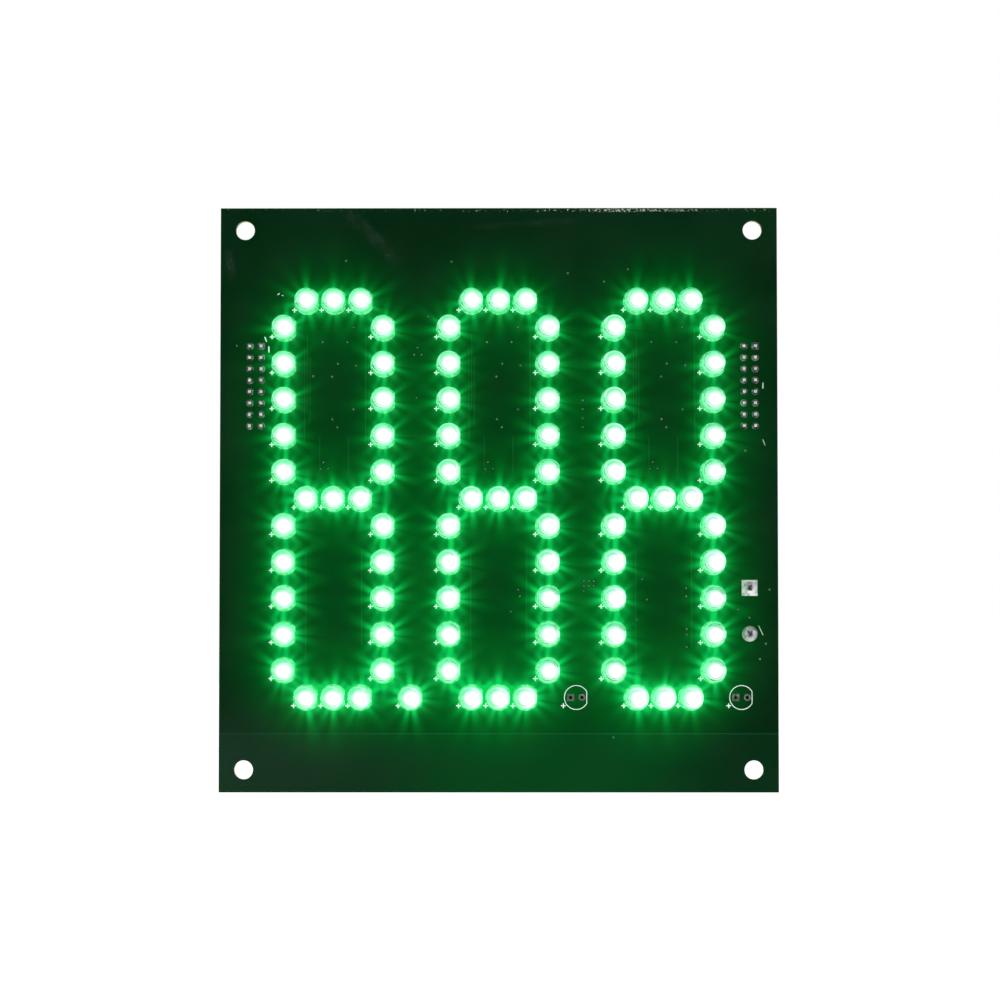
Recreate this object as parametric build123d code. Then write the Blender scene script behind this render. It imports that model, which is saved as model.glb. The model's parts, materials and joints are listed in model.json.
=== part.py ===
from build123d import *
import os

# Three-digit seven-segment LED display module: one bare circuit board that carries 5 mm round LEDs
# on its front, and ribbon-cable headers, a screw terminal and the driver parts on its rear.
#
# Frame: +X to the right and +Z up as the digits are read, and the display faces -Y.
# The origin is the centre of the four mounting holes, on the board's rear face (y = 0).
# Front parts are drawn in a local frame whose +z leaves the front face, rear parts in one whose
# +z leaves the rear face, and both are then set on the board.

# ---------------------------------------------------------------- driving dimensions, millimetres
BOARD_WIDTH = 124.0
BOARD_HEIGHT = 130.0
BOARD_THICKNESS = 1.6
MOUNT_SPACING_X = 113.0
MOUNT_SPACING_Z = 120.0
MOUNT_HOLE_RADIUS = 2.1

DIGIT_PITCH = 36.6
COLUMN_X = 11.0            # an LED column, from its digit's centre line
ROW_PITCH_X = 6.0          # between LEDs of a horizontal segment
COLUMN_PITCH_Z = 8.0       # between LEDs of a vertical segment
ROW_GAP_Z = 6.0            # from a horizontal segment to the nearest LED of a vertical one
COLUMN_LEDS = 5
POINT_X = 17.2             # the decimal point, from its digit's centre line

LEAD_PITCH = 2.54
PLATING = 0.02             # copper on a hole's wall, left as a gap round the solder
TOUCH = 0.01               # gap between pieces that meet on curved faces

DIGITS = {"left": -DIGIT_PITCH, "centre": 0.0, "right": DIGIT_PITCH}
TOP_ROW_Z = 2 * ROW_GAP_Z + (COLUMN_LEDS - 1) * COLUMN_PITCH_Z

# 5 mm LED
LENS_RADIUS = 2.5
LENS_HEIGHT = 8.6
FLANGE_RADIUS = 2.9
FLANGE_HEIGHT = 1.0
FLAT_X = 2.5               # the cathode flat on the flange
LEAD_SIZE = 0.5
LEAD_END_Z = -3.1
LED_HOLE_RADIUS = 0.45
CUP_TOP_Z = 5.0
CUP_RADIUS = 0.62
CHIP_SIZE = 0.36
CHIP_HEIGHT = 0.15

# ribbon-cable headers, two rows of eight pins
HEADER_PINS = 8
HEADER_LENGTH = (HEADER_PINS - 1) * LEAD_PITCH + 10.16
HEADER_WIDTH = 8.8
HEADER_HEIGHT = 9.1
HEADER_FLOOR = 2.5
HEADER_WALL = 1.15
HEADER_END_WALL = 1.3
KEY_WIDTH = 4.5
PIN_SIZE = 0.64
PIN_TOP_Z = 8.3
PIN_TAIL_Z = -3.0
PIN_HOLE_RADIUS = 0.5
HEADER_Z = 25.2
OUTPUT_HEADER_X = -54.1
INPUT_HEADER_X = 55.8

# two-pole rising-clamp screw terminal
TERMINAL_X = 55.65         # its solder pins
TERMINAL_Z = -24.82
POLE_PITCH = 10.16
TERMINAL_HEIGHT = 16.4
TERMINAL_BACK = -5.65      # the housing's inner and outer faces, from the solder pins
TERMINAL_FRONT = 6.15
SCREW_X = 0.55
POLES = {"positive": POLE_PITCH / 2, "negative": -POLE_PITCH / 2}
CLAMP_TRAVEL = 3.5
POWER_HOLE_RADIUS = 0.9
POWER_LAND = 3.5

# rear surface-mounted parts
DRIVER_Z = 24.0
BUFFER_X = DIGIT_PITCH / 2
BUFFER_Z = 22.0
BULK_X = DIGIT_PITCH / 2
BULK_Z = -20.0
DIODE_X = DIGIT_PITCH / 2
DIODE_Z = -32.5
RESISTOR_Z = -22.0
RESISTOR_PITCH_Z = 3.4
RESISTORS_PER_COLUMN = 4
RESISTOR_COLUMN_X = 3.6


# ---------------------------------------------------------------- placing and writing
def front_at(x, z):
    """A place on the board's front face: local +z leaves the face, local +x is +X."""
    return Location(Plane(origin=(x, -BOARD_THICKNESS, z), x_dir=(1, 0, 0), z_dir=(0, -1, 0)))


def rear_at(x, z):
    """A place on the board's rear face: local +z leaves the face, local +x is +X."""
    return Location(Plane(origin=(x, 0, z), x_dir=(1, 0, 0), z_dir=(0, 1, 0)))


def write(node, solids):
    """Writes one node's solids as one STEP file."""
    export_step(Compound(list(solids)), f"parts/{node}.step")


def block(x0, x1, y0, y1, z0, z1):
    """A box between two corners."""
    return Pos((x0 + x1) / 2, (y0 + y1) / 2, (z0 + z1) / 2) * Box(x1 - x0, y1 - y0, z1 - z0)


def rod(radius, z0, z1):
    """A round rod on the local z axis."""
    return Pos(0, 0, (z0 + z1) / 2) * Cylinder(radius, z1 - z0)


def plate(points, thickness):
    """A flat plate with the outline given in local x and z, centred on local y = 0."""
    outline = make_face(Polyline(*points, close=True))
    return extrude(Plane.XZ * outline, thickness / 2, both=True)


def turned(points):
    """A solid turned about the local z axis from straight runs given as (radius, z)."""
    return revolve(Plane.XZ * make_face(Polyline(*points, close=True)), Axis.Z)


# ---------------------------------------------------------------- where the LEDs stand
def segment_places(segment):
    """The LED places of one segment, from its digit's centre."""
    rows = {"a": TOP_ROW_Z, "g": 0.0, "d": -TOP_ROW_Z}
    if segment in rows:
        return [(step * ROW_PITCH_X, rows[segment]) for step in (-1, 0, 1)]
    side = COLUMN_X if segment in "bc" else -COLUMN_X
    half = 1 if segment in "bf" else -1
    return [(side, half * (ROW_GAP_Z + step * COLUMN_PITCH_Z)) for step in range(COLUMN_LEDS)]


def digit_places(digit):
    """Every fitted LED of one digit, with the one decimal point that is fitted."""
    centre = DIGITS[digit]
    places = [(centre + x, z) for segment in "abcdefg" for x, z in segment_places(segment)]
    if digit == "left":
        places.append((centre + POINT_X, -TOP_ROW_Z))
    return places


LED_PLACES = [place for digit in DIGITS for place in digit_places(digit)]
EMPTY_PLACES = [(DIGITS[digit] + POINT_X, -TOP_ROW_Z) for digit in ("centre", "right")]


# ---------------------------------------------------------------- LED, local frame on the front
def cathode_anvil():
    """The cathode lead with the wide anvil and the reflector cup that holds the chip."""
    low, high = LEAD_PITCH / 2 - LEAD_SIZE / 2, LEAD_PITCH / 2 + LEAD_SIZE / 2
    anvil = plate(
        [(low, LEAD_END_Z), (high, LEAD_END_Z), (high, 1.6), (1.85, 2.2), (1.85, 3.3), (0.6, 4.7),
         (-0.5, 4.7), (-0.5, 4.2), (0.35, 2.2), (low, 1.6)],
        LEAD_SIZE,
    )
    cup = rod(CUP_RADIUS, 4.2, CUP_TOP_Z)
    recess = turned([(0, 4.6), (0.3, 4.6), (0.5, CUP_TOP_Z + 0.1), (0, CUP_TOP_Z + 0.1)])
    return (anvil + cup - recess).solid()


def anode_post():
    """The anode lead with the small flag that the bond wire lands on."""
    low, high = -LEAD_PITCH / 2 - LEAD_SIZE / 2, -LEAD_PITCH / 2 + LEAD_SIZE / 2
    return plate(
        [(low, LEAD_END_Z), (high, LEAD_END_Z), (high, 1.6), (-0.75, 2.1), (-0.95, 3.2),
         (-0.85, 4.4), (-0.85, 5.1), (-1.45, 5.1), (-1.75, 4.0), (-1.85, 2.2), (low, 1.6)],
        LEAD_SIZE,
    ).solid()


def led_chip():
    """The light-emitting chip on the floor of the cup."""
    half = CHIP_SIZE / 2
    return block(-half, half, -half, half, 4.6, 4.6 + CHIP_HEIGHT).solid()


def led_lens(inner):
    """The clear epoxy body with its flange and cathode flat, cast round the inner metal."""
    shoulder = LENS_HEIGHT - LENS_RADIUS
    outline = Polyline(
        (0, LENS_HEIGHT), (0, 0), (FLANGE_RADIUS - 0.1, 0), (FLANGE_RADIUS, 0.1),
        (FLANGE_RADIUS, FLANGE_HEIGHT - 0.1), (FLANGE_RADIUS - 0.1, FLANGE_HEIGHT),
        (LENS_RADIUS, FLANGE_HEIGHT), (LENS_RADIUS, shoulder),
    )
    dome = RadiusArc((LENS_RADIUS, shoulder), (0, LENS_HEIGHT), -LENS_RADIUS)
    body = revolve(Plane.XZ * make_face([*outline.edges(), dome]), Axis.Z)
    flat = block(FLAT_X, FLANGE_RADIUS + 1, -4, 4, -1, FLANGE_HEIGHT + 0.01)
    return (body - flat - inner).solid()


def lead_solder():
    """Solder of one LED lead: it fills the hole and wets up the cut lead on the rear."""
    base, tip, land, neck = -BOARD_THICKNESS, -BOARD_THICKNESS - 1.1, 0.75, 0.4
    plug = LED_HOLE_RADIUS - PLATING
    run = Polyline((neck, tip), (0, tip), (0, -0.1), (plug, -0.1), (plug, base), (land, base),
                   (land, base - 0.05))
    fillet_arc = ThreePointArc((land, base - 0.05), (0.47, base - 0.4), (neck, tip))
    body = revolve(Plane.XZ * make_face([*run.edges(), fillet_arc]), Axis.Z)
    half = LEAD_SIZE / 2
    return (body - block(-half, half, -half, half, LEAD_END_Z, 0)).solid()


def empty_land(square):
    """The plated hole of an unfitted LED lead: a land on each face and the barrel between."""
    outer, inner, land, copper = LED_HOLE_RADIUS - TOUCH, 0.38, 0.78, 0.04
    flange = Box(2 * land, 2 * land, copper) if square else Cylinder(land, copper)
    body = rod(outer, -BOARD_THICKNESS - copper, copper)
    body += Pos(0, 0, copper / 2) * flange
    body += Pos(0, 0, -BOARD_THICKNESS - copper / 2) * flange
    return (body - rod(inner, -BOARD_THICKNESS - 1, 1)).solid()


# ---------------------------------------------------------------- board
def board():
    """The bare board: mounting holes, LED lead holes, header holes and power holes."""
    holes = Sketch() + [
        Pos(sx * MOUNT_SPACING_X / 2, sz * MOUNT_SPACING_Z / 2) * Circle(MOUNT_HOLE_RADIUS)
        for sx in (-1, 1) for sz in (-1, 1)
    ]
    holes += [
        Pos(x + side * LEAD_PITCH / 2, z) * Circle(LED_HOLE_RADIUS)
        for x, z in LED_PLACES + EMPTY_PLACES for side in (-1, 1)
    ]
    holes += [
        Pos(x + dx, HEADER_Z - dz) * Circle(PIN_HOLE_RADIUS)
        for x in (OUTPUT_HEADER_X, INPUT_HEADER_X) for dx, dz in header_grid()
    ]
    holes += [Pos(TERMINAL_X, TERMINAL_Z + pole) * Circle(POWER_HOLE_RADIUS)
              for pole in POLES.values()]
    face = Rectangle(BOARD_WIDTH, BOARD_HEIGHT) - holes
    return (front_at(0, 0) * extrude(face, -BOARD_THICKNESS)).solid()


# ---------------------------------------------------------------- ribbon-cable header
def header_grid():
    """Pin places of a header, from its centre."""
    first = (HEADER_PINS - 1) / 2
    return [(side * LEAD_PITCH / 2, (row - first) * LEAD_PITCH)
            for row in range(HEADER_PINS) for side in (-1, 1)]


def header_shell():
    """The open-topped shroud with its key slot and the square holes that grip the pins."""
    half_w, half_l = HEADER_WIDTH / 2, HEADER_LENGTH / 2
    shell = block(-half_w, half_w, -half_l, half_l, 0, HEADER_HEIGHT)
    shell = chamfer(shell.edges().filter_by(Axis.Z), 0.4)
    shell -= block(-half_w + HEADER_WALL, half_w - HEADER_WALL, -half_l + HEADER_END_WALL,
                   half_l - HEADER_END_WALL, HEADER_FLOOR, HEADER_HEIGHT + 1)
    shell -= block(-half_w - 1, -half_w + HEADER_WALL + 0.01, -KEY_WIDTH / 2, KEY_WIDTH / 2,
                   HEADER_FLOOR, HEADER_HEIGHT + 1)
    end_slot = block(-1.1, 1.1, half_l - 0.6, half_l + 1, HEADER_FLOOR + 1.5, HEADER_HEIGHT + 1)
    shell -= [end_slot, mirror(end_slot, Plane.XZ)]
    relief = block(-half_w - 1, half_w + 1, -half_l + 3, half_l - 3, -1, 0.35)
    shell -= relief
    half = PIN_SIZE / 2
    shell -= [block(x - half, x + half, y - half, y + half, -1, HEADER_FLOOR + 1)
              for x, y in header_grid()]
    return shell.solid()


def header_pin():
    """One square pin with tapered ends."""
    half = PIN_SIZE / 2
    pin = block(-half, half, -half, half, PIN_TAIL_Z, PIN_TOP_Z)
    ends = pin.faces().filter_by(Axis.Z).edges()
    return chamfer(ends, 0.18).solid()


def pin_solder():
    """Solder of one header pin: it fills the hole and wets up the tail on the front."""
    base, tip, land, neck = -BOARD_THICKNESS, -BOARD_THICKNESS - 0.75, 0.78, 0.5
    plug = PIN_HOLE_RADIUS - PLATING
    run = Polyline((neck, tip), (0, tip), (0, -0.1), (plug, -0.1), (plug, base), (land, base),
                   (land, base - 0.05))
    fillet_arc = ThreePointArc((land, base - 0.05), (0.56, base - 0.33), (neck, tip))
    body = revolve(Plane.XZ * make_face([*run.edges(), fillet_arc]), Axis.Z)
    half = PIN_SIZE / 2
    return (body - block(-half, half, -half, half, PIN_TAIL_Z, 0)).solid()


# ---------------------------------------------------------------- screw terminal
# Heights above the rear face: the wire lies between the clamp's floor and the contact bar.
CLAMP_FLOOR = (1.4, 2.2)
BAR = (6.6, 7.4)
CLAMP_ROOF = (7.5, 9.0)
SCREW_TIP_Z = 7.45
HEAD = (12.7, 14.7)
ROOF_Z = 14.8
CLAMP_HALF_X, CLAMP_HALF_Y, CLAMP_WALL = 3.3, 3.6, 0.9
CAVITY_X = (-4.1, 4.05)
CAVITY_HALF_Y = 3.8
WIRE_HALF_Y = 2.7
WIRE_Z = (2.0, 6.9)
SCREW_RADIUS, THREAD_RADIUS, HEAD_RADIUS, ACCESS_RADIUS = 1.95, 2.0, 2.75, 2.5


def terminal_housing():
    """The two-pole insulating housing, open below, with wire entries and screwdriver holes."""
    half_y = POLE_PITCH
    body = block(TERMINAL_BACK, TERMINAL_FRONT, -half_y, half_y, 0, TERMINAL_HEIGHT)
    top_edges = body.faces().sort_by(Axis.Z)[-1].edges().filter_by(Axis.Y)
    body = chamfer(top_edges, 1.2)
    for pole in POLES.values():
        body -= block(*CAVITY_X, pole - CAVITY_HALF_Y, pole + CAVITY_HALF_Y, -1, ROOF_Z)
        body -= block(0, TERMINAL_FRONT + 1, pole - WIRE_HALF_Y, pole + WIRE_HALF_Y, *WIRE_Z)
        body -= Pos(SCREW_X, pole) * rod(ACCESS_RADIUS, ROOF_Z - 1, TERMINAL_HEIGHT + 1)
        rib = block(TERMINAL_BACK - 1, TERMINAL_BACK + 0.5, pole - 3, pole + 3, 3, 12)
        body -= rib
    body -= block(TERMINAL_BACK - 1, TERMINAL_FRONT + 1, -0.4, 0.4, TERMINAL_HEIGHT - 0.7,
                  TERMINAL_HEIGHT + 1)
    return body.solid()


def wire_clamp():
    """The rising clamp: a rectangular ring whose threaded roof rides on the screw."""
    x0, x1 = SCREW_X - CLAMP_HALF_X, SCREW_X + CLAMP_HALF_X
    window = CLAMP_HALF_Y - CLAMP_WALL
    ring = block(x0, x1, -CLAMP_HALF_Y, CLAMP_HALF_Y, CLAMP_FLOOR[0], CLAMP_ROOF[1])
    ring = chamfer(ring.edges().filter_by(Axis.X), 0.3)
    ring -= block(x0 - 1, x1 + 1, -window, window, CLAMP_FLOOR[1], CLAMP_ROOF[0])
    ring -= Pos(SCREW_X, 0) * rod(THREAD_RADIUS, CLAMP_ROOF[0] - 1, CLAMP_ROOF[1] + 1)
    return ring.solid()


def clamp_screw():
    """The captive screw: a slotted head, and a shank that bears on the contact bar."""
    shank = turned([(0, SCREW_TIP_Z), (SCREW_RADIUS - 0.3, SCREW_TIP_Z),
                    (SCREW_RADIUS, SCREW_TIP_Z + 0.3), (SCREW_RADIUS, HEAD[0] + 0.1),
                    (0, HEAD[0] + 0.1)])
    head = turned([(0, HEAD[0]), (HEAD_RADIUS, HEAD[0]), (HEAD_RADIUS, HEAD[1] - 0.35),
                   (HEAD_RADIUS - 0.35, HEAD[1]), (0, HEAD[1])])
    slot = block(-4, 4, -0.4, 0.4, HEAD[1] - 1.0, HEAD[1] + 1)
    cross = block(-1.5, 1.5, -0.35, 0.35, HEAD[1] - 1.3, HEAD[1] + 1)
    return (Pos(SCREW_X, 0) * (shank + head - slot - Rot(0, 0, 90) * cross)).solid()


def terminal_contact():
    """The C-shaped contact strip: bar in the clamp, leg behind it, foot below, solder pin."""
    bar = block(CAVITY_X[0], 3.8, -2.5, 2.5, *BAR)
    leg = block(CAVITY_X[0], -3.2, -2.5, 2.5, 0.5, BAR[1])
    foot = block(CAVITY_X[0], 0.5, -1.5, 1.5, 0.5, 1.3)
    pin = block(-0.5, 0.5, -0.6, 0.6, -2.7, 0.6)
    return (bar + leg + foot + pin).solid()


def power_solder(square):
    """Solder of one power pin: its land on the front, the filled hole and a domed fillet."""
    base = -BOARD_THICKNESS
    plug = POWER_HOLE_RADIUS - PLATING
    dome = 1.35 if square else POWER_LAND / 2
    top = base - 1.0
    run = Polyline((0.85, top), (0, top), (0, -0.1), (plug, -0.1), (plug, base), (dome, base),
                   (dome, base - 0.1))
    shape = ThreePointArc((dome, base - 0.1), (1.2 if square else 1.4, base - 0.65), (0.85, top))
    body = revolve(Plane.XZ * make_face([*run.edges(), shape]), Axis.Z)
    if square:
        land = POWER_LAND / 2
        sheet = block(-land, land, -land, land, base - 0.1, base)
        body += sheet
    return (body - block(-0.5, 0.5, -0.6, 0.6, -4, 0)).solid()


# ---------------------------------------------------------------- surface-mounted parts
def gull_lead(body_half, span_half, exit_z, width, thickness):
    """One gull-wing lead that leaves the body along +x, bends down and ends in a flat foot."""
    bend = body_half + (span_half - body_half) * 0.35
    drop = bend + 0.2
    profile = [
        (body_half, exit_z + thickness / 2), (bend, exit_z + thickness / 2), (drop, thickness),
        (span_half, thickness), (span_half, 0), (drop - 0.16, 0), (bend - 0.2, exit_z - thickness / 2),
        (body_half, exit_z - thickness / 2),
    ]
    return plate(profile, width).solid()


def gull_leads(count, pitch, **lead):
    """Both rows of leads of one package."""
    first = (count / 2 - 1) / 2
    one = gull_lead(**lead)
    return [Rot(0, 0, turn) * Pos(0, (row - first) * pitch) * one
            for turn in (0, 180) for row in range(count // 2)]


def package_body(width, length, z0, z1, part_z):
    """A moulded package whose sides draft both ways from its parting plane, with a pin-one dot."""
    outline = Pos(0, 0, part_z) * Rectangle(width, length)
    body = extrude(outline, z1 - part_z, taper=7) + extrude(outline, part_z - z0, dir=(0, 0, -1), taper=7)
    dot = Pos(-width / 2 + 1.1, length / 2 - 1.1) * rod(0.4, z1 - 0.12, z1 + 1)
    return (body - dot).solid()


def chip_pair(length, width, height, cap):
    """A two-terminal chip part lying along local x: its body and its two end terminations."""
    body = block(-length / 2 + cap, length / 2 - cap, -width / 2, width / 2, 0.05, height)
    end = block(-length / 2, -length / 2 + cap, -width / 2, width / 2, 0, height + 0.04)
    end = chamfer(end.edges().filter_by(Axis.Y).group_by(Axis.X)[0], 0.06)
    return body.solid(), [end.solid(), mirror(end, Plane.YZ).solid()]


def bulk_capacitor():
    """A surface-mounted electrolytic capacitor: moulded base, aluminium can and two tabs."""
    half, can_radius, base_height, top = 4.15, 4.0, 1.3, 10.2
    base = block(-half, half, -half, half, 0.15, base_height)
    cut_corners = base.edges().filter_by(Axis.Z).group_by(Axis.X)[0]
    base = chamfer(cut_corners, 1.4)
    tabs = [block(-half - 0.5, -1.0, -0.4, 0.4, 0, 0.15), block(1.0, half + 0.5, -0.4, 0.4, 0, 0.15)]
    can = turned([(0, base_height), (can_radius, base_height), (can_radius, 2.2),
                  (can_radius - 0.35, 2.5), (can_radius - 0.35, 2.8), (can_radius, 3.1),
                  (can_radius, top - 0.5), (can_radius - 0.5, top), (0, top)])
    return base.solid(), can.solid(), [tab.solid() for tab in tabs]


# ---------------------------------------------------------------- assembly
def write_leds():
    """Lenses by segment, and the metal, chips and solder inside and behind them."""
    anvil, post, chip = cathode_anvil(), anode_post(), led_chip()
    lens = led_lens([anvil, post, chip])
    solder = lead_solder()
    for digit, centre in DIGITS.items():
        for segment in "abcdefg":
            places = [(centre + x, z) for x, z in segment_places(segment)]
            write(f"{digit}_digit_segment_{segment}_lenses", [front_at(x, z) * lens for x, z in places])
        places = digit_places(digit)
        write(f"{digit}_digit_cathode_anvils", [front_at(x, z) * anvil for x, z in places])
        write(f"{digit}_digit_anode_posts", [front_at(x, z) * post for x, z in places])
        write(f"{digit}_digit_led_solder",
              [front_at(x + side * LEAD_PITCH / 2, z) * solder for x, z in places for side in (-1, 1)])
    write("decimal_point_lens", [front_at(DIGITS["left"] + POINT_X, -TOP_ROW_Z) * lens])
    write("led_chips", [front_at(x, z) * chip for x, z in LED_PLACES])
    write("unfitted_led_lands",
          [front_at(x + side * LEAD_PITCH / 2, z) * empty_land(square=side < 0)
           for x, z in EMPTY_PLACES for side in (-1, 1)])


def write_headers():
    """The input and output headers, with their pins and the pins' solder."""
    shell, pin, solder = header_shell(), header_pin(), pin_solder()
    places = {"input": rear_at(INPUT_HEADER_X, HEADER_Z), "output": rear_at(OUTPUT_HEADER_X, HEADER_Z)}
    for name, place in places.items():
        write(f"{name}_header_shell", [place * shell])
        write(f"{name}_header_pins", [place * Pos(*at) * pin for at in header_grid()])
    write("header_solder", [place * Pos(*at) * solder for place in places.values() for at in header_grid()])


def write_terminal():
    """The power terminal. Local y runs along -Z, so the positive pole is the upper one."""
    place = rear_at(TERMINAL_X, TERMINAL_Z)
    write("power_terminal_housing", [place * terminal_housing()])
    for name, pole in POLES.items():
        at = place * Pos(0, -pole)
        write(f"{name}_clamp_screw", [at * clamp_screw()])
        write(f"{name}_wire_clamp", [at * wire_clamp()])
        write(f"{name}_terminal_contact", [at * terminal_contact()])
    write("power_solder", [place * Pos(0, -pole) * power_solder(square=name == "positive")
                           for name, pole in POLES.items()])


def write_rear_parts():
    """Driver and buffer packages, resistors, capacitors and the protection diode."""
    driver = package_body(7.5, 12.8, 0.15, 2.5, 1.3)
    driver_leads = gull_leads(20, 1.27, body_half=3.75, span_half=5.15, exit_z=1.3, width=0.42,
                              thickness=0.25)
    places = [rear_at(x, DRIVER_Z) for x in DIGITS.values()]
    write("driver_packages", [at * driver for at in places])
    write("driver_leads", [at * lead for at in places for lead in driver_leads])

    at = rear_at(BUFFER_X, BUFFER_Z)
    write("buffer_package", [at * package_body(4.4, 6.5, 0.1, 1.1, 0.6)])
    write("buffer_leads", [at * lead for lead in gull_leads(
        20, 0.65, body_half=2.2, span_half=3.2, exit_z=0.6, width=0.22, thickness=0.15)])

    body, ends = chip_pair(3.2, 1.6, 0.6, 0.5)
    first = (RESISTORS_PER_COLUMN - 1) / 2
    places = [rear_at(x + side * RESISTOR_COLUMN_X, RESISTOR_Z + (row - first) * RESISTOR_PITCH_Z)
              for x in DIGITS.values() for side in (-1, 1) for row in range(RESISTORS_PER_COLUMN)]
    write("segment_resistors", [at * body for at in places])
    write("segment_resistor_ends", [at * end for at in places for end in ends])

    body, ends = chip_pair(2.0, 1.25, 0.9, 0.4)
    places = [rear_at(x, DRIVER_Z - 8.6) for x in DIGITS.values()] + [rear_at(BUFFER_X, BUFFER_Z - 5.2)]
    write("bypass_capacitors", [at * body for at in places])
    write("bypass_capacitor_ends", [at * end for at in places for end in ends])

    base, can, tabs = bulk_capacitor()
    at = rear_at(BULK_X, BULK_Z) * Rot(0, 0, 90)
    write("bulk_capacitor_base", [at * base])
    write("bulk_capacitor_can", [at * can])
    write("bulk_capacitor_tabs", [at * tab for tab in tabs])

    at = rear_at(DIODE_X, DIODE_Z)
    write("protection_diode", [at * package_body(4.4, 3.6, 0.1, 2.2, 1.1)])
    tab = gull_lead(body_half=2.2, span_half=2.9, exit_z=1.1, width=2.0, thickness=0.2)
    write("protection_diode_leads", [at * tab, at * Rot(0, 0, 180) * tab])


os.makedirs("parts", exist_ok=True)
write("circuit_board", [board()])
write_leds()
write_headers()
write_terminal()
write_rear_parts()
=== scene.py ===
import json
import math

import bmesh
import bpy
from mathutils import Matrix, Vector


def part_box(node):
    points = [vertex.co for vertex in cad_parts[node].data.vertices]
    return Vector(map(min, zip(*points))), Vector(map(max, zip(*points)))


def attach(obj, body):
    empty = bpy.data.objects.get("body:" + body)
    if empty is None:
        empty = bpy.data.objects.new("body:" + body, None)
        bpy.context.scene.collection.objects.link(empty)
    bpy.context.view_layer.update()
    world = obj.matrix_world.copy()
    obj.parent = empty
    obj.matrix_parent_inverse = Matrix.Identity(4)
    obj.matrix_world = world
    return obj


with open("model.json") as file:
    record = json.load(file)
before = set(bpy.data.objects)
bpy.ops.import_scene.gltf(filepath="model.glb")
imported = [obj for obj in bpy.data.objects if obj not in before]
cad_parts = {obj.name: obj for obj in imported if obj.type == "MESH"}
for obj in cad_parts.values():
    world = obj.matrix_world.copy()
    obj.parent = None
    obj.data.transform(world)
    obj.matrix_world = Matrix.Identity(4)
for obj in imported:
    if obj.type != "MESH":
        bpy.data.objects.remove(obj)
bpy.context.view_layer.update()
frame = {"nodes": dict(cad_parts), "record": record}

# ---------------- dimensions, metres
MM = 0.001
BOARD_LOW, BOARD_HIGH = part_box("circuit_board")
FRONT_Y = BOARD_LOW.y         # the lit face, which looks along -Y
REAR_Y = BOARD_HIGH.y
DIGIT_PITCH = 36.6 * MM
COLUMN_X = 11.0 * MM
ROW_PITCH = 6.0 * MM
COLUMN_PITCH = 8.0 * MM
ROW_GAP = 6.0 * MM
COLUMN_LEDS = 5
TOP_ROW_Z = 44.0 * MM
POINT_X = 17.2 * MM
HALF_PITCH = 1.27 * MM        # half the pitch of an LED's leads, and of a header's pins
HEADER_PINS = 8
INK = 0.015 * MM              # height of printed ink
COPPER = 0.035 * MM           # height of a bare land or a covered trace
FINE_RELIEF = 0.02 * MM       # depth of the fine relief of metal and plastic
COARSE_RELIEF = 0.05 * MM     # depth of the relief of solder and solder mask
DIGITS = {"left": -DIGIT_PITCH, "centre": 0.0, "right": DIGIT_PITCH}

# the same in millimetres, for node trees
DIGIT_MM = DIGIT_PITCH / MM
COLUMN_MM = COLUMN_X / MM
ROW_MM = ROW_PITCH / MM
STEP_MM = COLUMN_PITCH / MM
GAP_MM = ROW_GAP / MM
TOP_MM = TOP_ROW_Z / MM
FRONT_MM = FRONT_Y / MM
BARREL_MM = 2.5               # radius of an LED's barrel
FLANGE_MM = 1.4               # height of its flange
DOME_MM = 6.0                 # height at which its dome starts
CORE_DX_MM = 0.34             # how far its white core stands off its axis, to the right
CORE_DZ_MM = -0.36            # and upwards
POUR_MM = -52.0               # the line near the lower edge, where the copper pour starts


def middle(node):
    """The centre of a CAD node's box."""
    low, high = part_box(node)
    return (low + high) / 2


# ---------------- LED places
def segment_places(segment):
    """LED places of one segment, from its digit's centre."""
    rows = {"a": TOP_ROW_Z, "g": 0.0, "d": -TOP_ROW_Z}
    if segment in rows:
        return [(step * ROW_PITCH, rows[segment]) for step in (-1, 0, 1)]
    side = COLUMN_X if segment in "bc" else -COLUMN_X
    half = 1 if segment in "bf" else -1
    return [(side, half * (ROW_GAP + step * COLUMN_PITCH)) for step in range(COLUMN_LEDS)]


LED_PLACES = [(centre + x, z) for centre in DIGITS.values()
              for segment in "abcdefg" for x, z in segment_places(segment)]
POINT_PLACES = [(centre + POINT_X, -TOP_ROW_Z) for centre in DIGITS.values()]
FITTED_POINT = POINT_PLACES[0]
EMPTY_POINTS = POINT_PLACES[1:]


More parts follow.
